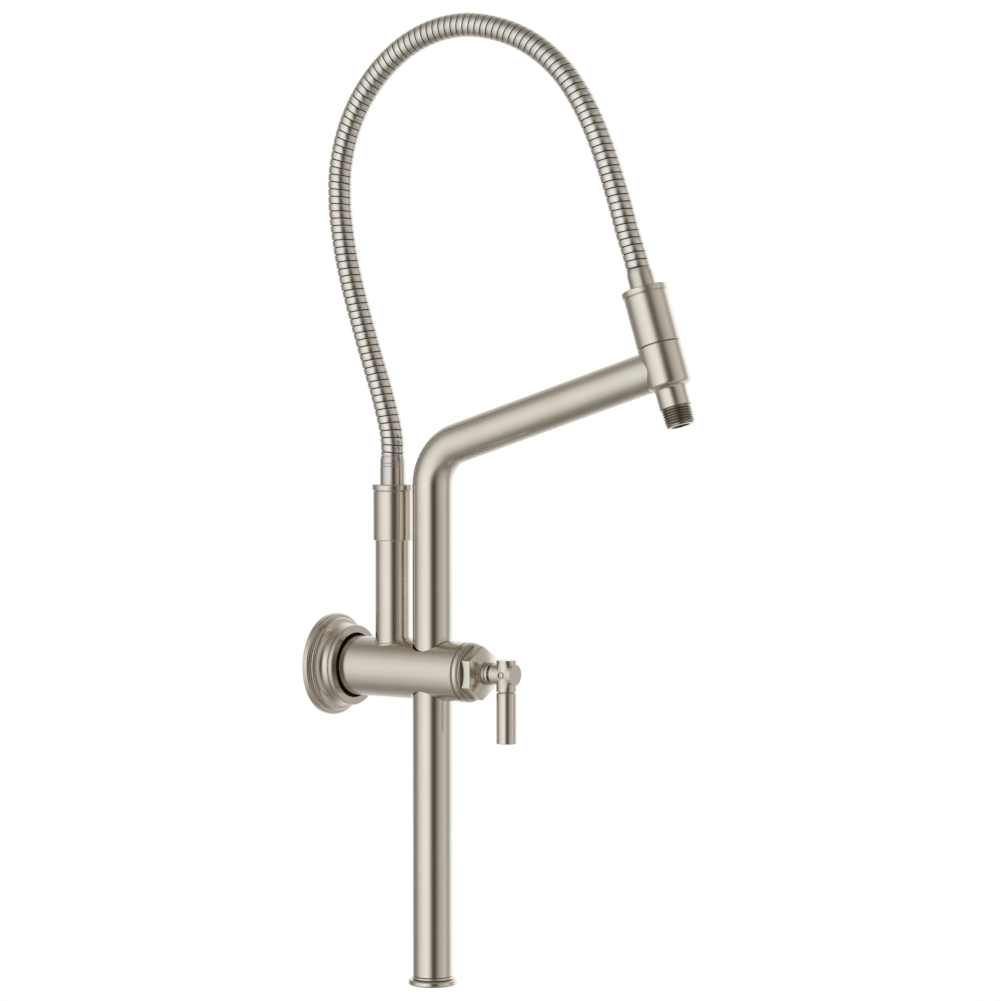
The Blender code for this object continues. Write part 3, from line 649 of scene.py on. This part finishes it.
# A barrel with a slight taper at its mouth and rolled rings below it
def crimpFerrule(name, start, barrel, ringsBelowTop):
    bore, flange, radius = ferruleFacts["bore"], ferruleFacts["flange"], ferruleFacts["radius"]
    shoulder = start + ferruleFacts["shoulder"]
    top = shoulder + barrel
    rings = []
    for below in ringsBelowTop:
        at = top - below
        rings += [
            (radius, at - 0.35), (radius - 0.3, at - 0.15), (radius - 0.3, at + 0.15), (radius, at + 0.35),
        ]
    return turnOnLathe(name, [
        (bore, start), (flange, start), (flange, shoulder), (radius, shoulder), *rings,
        (radius, top - 3.6), (radius - 0.45, top - 1.6), (radius - 0.85, top), (bore, top),
    ], edge=0.1)


for prefix, place, body, radius, seat, barrel, rings in (
    ("lower", riserPlace, "root", nutFacts["radius"], riserFacts["top"], ferruleFacts["lowerBarrel"],
     (7.4, 5.2)),
    ("upper", outletPlace, "column", nutFacts["upperRadius"], upperSeat, ferruleFacts["upperBarrel"], ()),
):
    nut = hoseNut(prefix + "HoseNut", radius, seat - nutFacts["seat"])
    settle(nut, place)
    finished(nut, satinNickel, body, prefix + "_hose_nut")
    ferrule = crimpFerrule(prefix + "Ferrule", seat + ferruleFacts["seat"], barrel, rings)
    settle(ferrule, place)
    finished(ferrule, turnedSteel, body, prefix + "_ferrule", slot="stainless_steel")
print("hose ends made")

# outlet fitting with its pipe thread

rootTop = threadFacts["radius"] - threadFacts["depth"]
rootEnd = rootTop - (threadLength + threadFacts["runOut"]) * threadFacts["taper"]
outletFitting = turnOnLathe("outletFitting", [
    (outletFacts["pipe"], outletFacts["pipeTop"]),
    (outletFacts["pipe"], outletFacts["top"]),
    (outletFacts["radius"] - 1.2, outletFacts["top"]),
    (outletFacts["radius"] - 1.2, outletFacts["top"] - 0.45),
    (outletFacts["radius"], outletFacts["top"] - 0.45),
    (outletFacts["radius"], -outletFacts["bottom"] + 0.9),
    (outletFacts["radius"] - 0.15, -outletFacts["bottom"] - 0.1),
    (outletFacts["radius"] - 0.7, -outletFacts["bottom"] - 0.9),
    (outletFacts["radius"] - 1.6, -outletFacts["bottom"] - 1.5),
    (outletFacts["neck"] + 1.7, -outletFacts["bottom"] - 2.0),
    (outletFacts["neck"] + 0.9, -outletFacts["bottom"] - 2.5),
    (outletFacts["neck"] + 0.4, -outletFacts["bottom"] - 3.1),
    (outletFacts["neck"] + 0.1, -outletFacts["bottom"] - 3.9),
    (outletFacts["neck"], -outletFacts["bottom"] - 4.7),
    (outletFacts["neck"], -outletFacts["neckEnd"]),
    (rootTop, -outletFacts["neckEnd"] - 0.4),
    (rootEnd, -outletFacts["neckEnd"] - threadLength - threadFacts["runOut"]),
    (outletFacts["bore"], -outletFacts["neckEnd"] - threadLength - threadFacts["runOut"]),
    (outletFacts["bore"], -outletFacts["neckEnd"]),
    (outletFacts["pipeBore"], outletFacts["top"]),
    (outletFacts["pipeBore"], outletFacts["pipeTop"]),
], edge=0.15)


# One triangular ridge wound down the root, tapered like a pipe thread
def helicalThread(name):
    deselectAll()
    bpy.ops.mesh.primitive_circle_add(
        vertices=3, radius=1.0 * mm, fill_type="NOTHING", location=(0, 0, 0),
        rotation=(math.radians(90), 0, 0),
    )
    ridge = bpy.context.object
    ridge.name = name
    bpy.ops.object.transform_apply(location=True, rotation=True, scale=True)
    sunk = rootTop - 0.25  # the ridge's foot stands in the root
    corners = (
        (sunk, 0.0),
        (threadFacts["radius"], -0.5 * threadFacts["pitch"]),
        (sunk, -threadFacts["pitch"] + 0.08),
    )
    for index, (radius, height) in enumerate(corners):
        pickVertices(ridge, (index,))
        now = ridge.data.vertices[index].co.copy()
        bpy.ops.object.mode_set(mode="EDIT")
        bpy.ops.transform.translate(value=Vector((radius * mm, 0, height * mm)) - now)
        bpy.ops.object.mode_set(mode="OBJECT")
    only(ridge)
    modifier = ridge.modifiers.new("wind", "SCREW")
    modifier.axis = "Z"
    modifier.angle = 2 * math.pi * threadFacts["wound"]
    modifier.screw_offset = -threadFacts["pitch"] * threadFacts["wound"] * mm
    modifier.steps = threadFacts["stepsPerTurn"] * (threadFacts["turns"] - 1)
    modifier.render_steps = modifier.steps
    bpy.ops.object.modifier_apply(modifier=modifier.name)
    bpy.ops.object.mode_set(mode="EDIT")
    bpy.ops.mesh.select_all(action="SELECT")
    bpy.ops.mesh.fill_holes(sides=0)
    bpy.ops.object.mode_set(mode="OBJECT")
    modifier = ridge.modifiers.new("narrow", "SIMPLE_DEFORM")
    modifier.deform_method = "TAPER"
    modifier.deform_axis = "Z"
    modifier.factor = threadLength * threadFacts["taper"] / threadFacts["radius"]
    bpy.ops.object.modifier_apply(modifier=modifier.name)
    cleanUp(ridge, 25)
    return ridge


threadRidge = helicalThread("threadRidge")
settle(threadRidge, Matrix.Translation((0, 0, -outletFacts["neckEnd"] * mm - 0.1 * mm)))
only(outletFitting)
threadRidge.select_set(True)
bpy.ops.object.join()
settle(outletFitting, outletPlace)
finished(outletFitting, satinNickel, "column", "outlet_fitting")
outletFitting.data.materials.append(cutThread)
for face in outletFitting.data.polygons:
    along = (face.center - armCross).dot(outletWay) / mm
    if -outletFacts["neckEnd"] - threadLength - 0.8 < along < -outletFacts["neckEnd"] - 0.1:
        face.material_index = 1
print("outlet made")

# column

tubeFacts = {"radius": 14.3, "wall": 1.5, "bendRadius": 32.5, "bendHeight": 156.3, "arm": 206.8,
             "copeGap": 0.02}
bend = math.pi / 2 - armRise
tangent = tubeFacts["bendRadius"] * math.tan(bend / 2)  # from the bend's corner to where it starts and ends
bendStart = (tubeFacts["bendHeight"] - tangent) * mm
deselectAll()
bpy.ops.mesh.primitive_circle_add(
    vertices=96, radius=tubeFacts["radius"] * mm, fill_type="NOTHING", location=(0, columnY, footTop),
)
columnTube = bpy.context.object
columnTube.name = "columnTube"
bpy.ops.object.transform_apply(location=True, rotation=True, scale=True)
bpy.ops.object.mode_set(mode="EDIT")
bpy.ops.mesh.select_all(action="SELECT")
bpy.ops.mesh.extrude_region_move(TRANSFORM_OT_translate={"value": (0, 0, bendStart - footTop)})
bpy.ops.mesh.spin(
    steps=40, angle=bend, center=(0, columnY - tubeFacts["bendRadius"] * mm, bendStart), axis=(-1, 0, 0),
)
armEnd = (tubeFacts["arm"] - tangent) * mm
bpy.ops.mesh.extrude_region_move(TRANSFORM_OT_translate={
    "value": (0, -math.cos(armRise) * armEnd, math.sin(armRise) * armEnd),
})
bpy.ops.object.mode_set(mode="OBJECT")
cleanUp(columnTube)
only(columnTube)
modifier = columnTube.modifiers.new("wall", "SOLIDIFY")
modifier.thickness = tubeFacts["wall"] * mm
modifier.offset = -1
bpy.ops.object.modifier_apply(modifier=modifier.name)
cutWithRod(columnTube, outletPlace, outletFacts["radius"] + tubeFacts["copeGap"], -30, 30)
cleanUp(columnTube)
finished(columnTube, drawnNickel, "column", "column_tube")

footFacts = {"radius": 17.45, "thick": 4.0, "bead": 2.4, "beadCentre": 13.6, "plug": 12.5, "plugHeight": 15.6}
footAt = footTop / mm - gap
beadLow = footAt - footFacts["bead"]
capLow = beadLow - footFacts["thick"]
footCap = turnOnLathe("footCap", [
    (0, footAt + footFacts["plugHeight"]),
    (footFacts["plug"] - 0.6, footAt + footFacts["plugHeight"]),
    (footFacts["plug"], footAt + footFacts["plugHeight"] - 0.6),
    (footFacts["plug"], footAt),
    *arc((footFacts["beadCentre"], footAt - footFacts["bead"] / 2), footFacts["bead"] / 2, 90, -90, 10),
    (footFacts["radius"] - 0.8, beadLow), (footFacts["radius"], beadLow - 0.8),
    (footFacts["radius"], capLow + 0.9), (footFacts["radius"] - 0.9, capLow), (0, capLow),
], edge=0.15)
settle(footCap, columnPlace)
finished(footCap, satinNickel, "column", "foot_cap")
print("column made")

# bonnet and clamp front

ringFacts = {"bore": 11.3, "radius": 21.5, "lineRadius": 19.9, "start": 30.95, "line": 31.7, "end": 35.7}
frontRing = turnOnLathe("frontRing", [
    (ringFacts["bore"], ringFacts["start"]),
    (ringFacts["lineRadius"], ringFacts["start"]),
    (ringFacts["lineRadius"], ringFacts["line"]),
    (ringFacts["radius"] - 0.3, ringFacts["line"]),
    (ringFacts["radius"], ringFacts["line"] + 0.3),
    (ringFacts["radius"], ringFacts["end"] - 1.2),
    (ringFacts["radius"] - 0.8, ringFacts["end"]),
    (ringFacts["bore"], ringFacts["end"]),
], steps=128, edge=0.15)
settle(frontRing, frontPlace)
finished(frontRing, satinNickel, "root", "front_ring")

washerFacts = {"radius": 20.2, "start": 36.0, "end": 36.7}
bonnetWasher = turnOnLathe("bonnetWasher", [
    (ringFacts["bore"], washerFacts["start"]), (washerFacts["radius"], washerFacts["start"]),
    (washerFacts["radius"], washerFacts["end"]), (ringFacts["bore"], washerFacts["end"]),
], edge=0.1)
settle(bonnetWasher, frontPlace)
finished(bonnetWasher, turnedSteel, "root", "bonnet_washer", slot="stainless_steel")

hexFacts = {"flats": 33.8, "start": 37.0, "end": 44.3, "coneEnd": 47.4, "cone": 8.9,
            "plug": 10.9, "plugEnd": 24.0, "bore": 5.3, "cavity": 7.9, "cavityEnd": 31.3,
            "sealBore": 7.2, "sealLow": 40.0, "sealHigh": 42.6}
corner = hexFacts["flats"] / math.sqrt(3)
hexBonnet = turnOnLathe("hexBonnet", [
    (hexFacts["cavity"], hexFacts["plugEnd"]),
    (hexFacts["plug"], hexFacts["plugEnd"]),
    (hexFacts["plug"], hexFacts["start"]),
    (corner, hexFacts["start"]),
    (corner, hexFacts["end"] - 0.4),
    (corner - 0.9, hexFacts["end"]),
    (hexFacts["flats"] / 2 - 0.3, hexFacts["end"] + 0.2),
    (hexFacts["cone"], hexFacts["coneEnd"]),
    (hexFacts["bore"], hexFacts["coneEnd"]),
    (hexFacts["bore"], hexFacts["sealHigh"]),
    (hexFacts["sealBore"], hexFacts["sealHigh"]),
    (hexFacts["sealBore"], hexFacts["sealLow"]),
    (hexFacts["bore"], hexFacts["sealLow"]),
    (hexFacts["bore"], hexFacts["cavityEnd"]),
    (hexFacts["cavity"], hexFacts["cavityEnd"]),
], edge=0)
prism = rod(corner, 19, 53, 6)
cutWith(hexBonnet, prism, "INTERSECT")
softenEdges(hexBonnet, 0.25, 35, 3)
cleanUp(hexBonnet, 25)
settle(hexBonnet, frontPlace)
finished(hexBonnet, satinNickel, "root", "hex_bonnet")

for name, node, radius, low, high in (
    ("glandRing", "gland_ring", 8.5, 47.7, 49.85),
    ("glandCollar", "gland_collar", 8.35, 50.15, 52.6),
):
    ring = turnOnLathe(name, [
        (hexFacts["bore"], low), (radius, low), (radius, high), (hexFacts["bore"], high),
    ], edge=0.4)
    settle(ring, frontPlace)
    finished(ring, satinNickel, "root", node)

spindleFacts = {"radius": 5.0, "screw": 4.7, "start": 16.55, "end": 69.2,
                "collar": 7.6, "collarLow": 26.0, "collarHigh": 30.0}
clampSpindle = turnOnLathe("clampSpindle", [
    (0, spindleFacts["start"]),
    (spindleFacts["screw"] - 0.6, spindleFacts["start"]),
    (spindleFacts["screw"], spindleFacts["start"] + 0.6),
    (spindleFacts["screw"], spindleFacts["collarLow"]),
    (spindleFacts["collar"], spindleFacts["collarLow"]),
    (spindleFacts["collar"], spindleFacts["collarHigh"]),
    (spindleFacts["radius"], spindleFacts["collarHigh"]),
    (spindleFacts["radius"], spindleFacts["end"]),
    (0, spindleFacts["end"]),
], edge=0.15)
settle(clampSpindle, frontPlace)
finished(clampSpindle, turnedSteel, "handle", "clamp_spindle", slot="stainless_steel")

# lever

hubFacts = {"radius": 7.5, "start": 54.3, "end": 72.1, "bore": 5.3, "boreEnd": 69.5,
            "socket": 4.3, "socketEnd": -7.8, "grubHole": 2.65}
leverFacts = {"at": 64.6, "radius": 7.25, "top": 10.5, "joint": 11.8, "drop": 49.0,
              "stem": 4.0, "stemTop": 8.1, "line": 12.1, "lineEnd": 12.9, "lineDepth": 1.2}
grubFacts = {"radius": 1.8, "low": 5.3, "high": 7.3}
leverPlace = frontPlace @ Matrix.Translation((0, 0, leverFacts["at"] * mm))
upright = leverPlace @ Matrix.Rotation(math.radians(-90), 4, "X")
across = leverPlace @ Matrix.Rotation(math.radians(-90), 4, "Y")
handleHub = rod(hubFacts["radius"], hubFacts["start"], hubFacts["end"])
handleHub.name = "handleHub"
settle(handleHub, frontPlace)
cutWithRod(handleHub, upright, leverFacts["radius"], -leverFacts["joint"], leverFacts["top"],
           operation="UNION")
cutWithRod(handleHub, frontPlace, hubFacts["bore"], 53, hubFacts["boreEnd"])
cutWithRod(handleHub, upright, hubFacts["socket"], -20, hubFacts["socketEnd"])
cutWithRod(handleHub, across, hubFacts["grubHole"], 5, 15, 48)
softenEdges(handleHub, 0.4, 40, 3)
cleanUp(handleHub)
finished(handleHub, satinNickel, "handle", "handle_hub")

leverRod = turnOnLathe("leverRod", [
    (0, -leverFacts["stemTop"]),
    (leverFacts["stem"], -leverFacts["stemTop"]),
    (leverFacts["stem"], -leverFacts["line"]),
    (leverFacts["radius"] - leverFacts["lineDepth"], -leverFacts["line"]),
    (leverFacts["radius"] - leverFacts["lineDepth"], -leverFacts["lineEnd"]),
    (leverFacts["radius"], -leverFacts["lineEnd"]),
    (leverFacts["radius"], -leverFacts["drop"]),
    (0, -leverFacts["drop"]),
], edge=0.3)
settle(leverRod, upright)
finished(leverRod, satinNickel, "handle", "lever_rod")

grubScrew = rod(grubFacts["radius"], grubFacts["low"], grubFacts["high"], 48)
grubScrew.name = "grubScrew"
softenEdges(grubScrew, 0.2, 40, 2)
cleanUp(grubScrew)
settle(grubScrew, across)
finished(grubScrew, turnedSteel, "handle", "grub_screw", slot="stainless_steel")

# fittings at the wall

nippleFacts = {"bore": 7.9, "radius": 10.65, "back": -15, "front": 22}
wallNipple = turnOnLathe("wallNipple", [
    (nippleFacts["bore"], nippleFacts["back"]), (nippleFacts["radius"], nippleFacts["back"]),
    (nippleFacts["radius"], nippleFacts["front"]), (nippleFacts["bore"], nippleFacts["front"]),
], edge=0.6)
settle(wallNipple, wallPlace)
finished(wallNipple, turnedBrass, "root", "wall_nipple", slot="plain_brass")

oRingFacts = {"centre": 21.95, "section": 1.63}
oRingCentre = (oRingFacts["centre"], barrelFacts["seatAt"])
flangeORing = turnOnLathe("flangeORing", arc(oRingCentre, oRingFacts["section"], 0, 345, 23), edge=0)
settle(flangeORing, wallPlace)
finished(flangeORing, sealRubber, "root", "flange_o_ring", slot="black_rubber")
print("front and wall fittings made")

# the pieces kept from the frame

for node, material in (
    ("clamp_shoe", turnedBrass),
    ("guide_sleeve", blackAcetal),
    ("thrust_washer", blackAcetal),
    ("upper_snap_ring", oiledSteel),
    ("lower_snap_ring", oiledSteel),
    ("lower_washer", sealRubber),
    ("upper_washer", sealRubber),
    ("spindle_seal", sealRubber),
):
    kept = frame["nodes"][node]
    kept.data.materials.clear()
    kept.data.materials.append(material)

# studio

studioFacts = {"floorAt": -1.2, "floorSize": 3.0, "aim": (0, -0.12, 0.1), "strength": 1.12}
# turn from the camera's side in degrees, brightness, and warmth, where below 1 is warmer
studioPanels = (
    (-180, 0.95, 1.0),
    (-156, 0.6, 1.0),
    (-128, 0.22, 0.96),
    (-104, 0.36, 0.97),
    (-86, 0.7, 0.99),
    (-64, 0.92, 1.03),
    (-39, 1.02, 1.04),
    (-24, 0.95, 1.0),
    (-11, 0.45, 0.97),
    (-3, 0.13, 0.9),
    (10, 0.06, 0.85),
    (18, 0.12, 0.92),
    (31, 0.36, 0.96),
    (45, 0.52, 0.97),
    (75, 0.7, 0.98),
    (98, 0.42, 0.98),
    (117, 0.6, 0.99),
    (130, 1.15, 1.02),
    (150, 1.05, 1.02),
    (180, 0.95, 1.0),
)
# height above the horizon in degrees, and brightness
studioHeights = (
    (-90, 0.4), (-66, 0.5), (-45, 0.8), (-20, 0.98), (0, 1.04),
    (22, 1.04), (42, 0.85), (62, 0.5), (90, 0.42),
)
mixFirst, mixSecond, mixOut = 6, 7, 2  # a Mix node's colour sockets
cameraWay = Vector(cameraFacts["place"]) - Vector(studioFacts["aim"])
cameraTurn = math.atan2(cameraWay.y, cameraWay.x)

deselectAll()
bpy.ops.mesh.primitive_plane_add(
    size=studioFacts["floorSize"], location=(0, studioFacts["aim"][1], studioFacts["floorAt"]),
)
floor = bpy.context.object
floor.name = "floor"
# matt pale floor that only sends a soft bounce up into the metal
floorPaint = bpy.data.materials.new("floorPaint")
floorPaint.use_nodes = True
floorShader = floorPaint.node_tree.nodes["Principled BSDF"]
floorShader.inputs["Base Color"].default_value = linear("#DAD9D7")
floorShader.inputs["Roughness"].default_value = 0.9
floor.data.materials.append(floorPaint)
floor.visible_glossy = False

world = bpy.data.worlds.new("studio")
bpy.context.scene.world = world
world.use_nodes = True
tree = world.node_tree
tree.nodes.clear()
way = addNode(tree, "ShaderNodeSeparateXYZ", None, {
    "Vector": addNode(tree, "ShaderNodeTexCoord").outputs["Generated"],
})
around = addNode(tree, "ShaderNodeMath", {"operation": "ARCTAN2"})
tree.links.new(way.outputs["Y"], around.inputs[0])
tree.links.new(way.outputs["X"], around.inputs[1])
fromCamera = addNode(tree, "ShaderNodeMath", {"operation": "MULTIPLY_ADD"})
tree.links.new(around.outputs[0], fromCamera.inputs[0])
fromCamera.inputs[1].default_value = 1 / (2 * math.pi)
fromCamera.inputs[2].default_value = 1.5 - cameraTurn / (2 * math.pi)
wrapped = addNode(tree, "ShaderNodeMath", {"operation": "FRACT"})
tree.links.new(fromCamera.outputs[0], wrapped.inputs[0])
panels = addNode(tree, "ShaderNodeValToRGB", None, {"Fac": wrapped.outputs[0]})
panels.color_ramp.interpolation = "LINEAR"
rampStops(panels, [
    (0.5 + turned / 360, (bright, bright * warmth, bright * warmth ** 2, 1))
    for turned, bright, warmth in studioPanels
])
# straight up and straight down the panels fade into one even warm grey
steep = addNode(tree, "ShaderNodeMath", {"operation": "MULTIPLY"})
tree.links.new(way.outputs["Z"], steep.inputs[0])
tree.links.new(way.outputs["Z"], steep.inputs[1])
even = addNode(tree, "ShaderNodeMix", {"data_type": "RGBA"})
tree.links.new(steep.outputs[0], even.inputs["Factor"])
tree.links.new(panels.outputs["Color"], even.inputs[mixFirst])
even.inputs[mixSecond].default_value = (0.62, 0.59, 0.53, 1)
height = addNode(tree, "ShaderNodeMapRange", None, {
    "Value": way.outputs["Z"], "From Min": -1.0, "From Max": 1.0,
})
heights = addNode(tree, "ShaderNodeValToRGB", None, {"Fac": height.outputs["Result"]})
rampStops(heights, [
    (0.5 + math.sin(math.radians(up)) / 2, (bright, bright, bright, 1)) for up, bright in studioHeights
])
lit = addNode(tree, "ShaderNodeMix", {"data_type": "RGBA", "blend_type": "MULTIPLY"})
lit.inputs["Factor"].default_value = 1.0
tree.links.new(even.outputs[mixOut], lit.inputs[mixFirst])
tree.links.new(heights.outputs["Color"], lit.inputs[mixSecond])
glow = addNode(tree, "ShaderNodeBackground", None, {
    "Color": lit.outputs[mixOut], "Strength": studioFacts["strength"],
})
paper = addNode(tree, "ShaderNodeBackground", None, {"Color": (1, 1, 1, 1), "Strength": 1.0})
seen = addNode(tree, "ShaderNodeMixShader", None, {
    "Fac": addNode(tree, "ShaderNodeLightPath").outputs["Is Camera Ray"],
})
tree.links.new(glow.outputs[0], seen.inputs[1])
tree.links.new(paper.outputs[0], seen.inputs[2])
addNode(tree, "ShaderNodeOutputWorld", None, {"Surface": seen.outputs[0]})
bpy.context.scene.view_settings.view_transform = "Standard"
print("studio made")
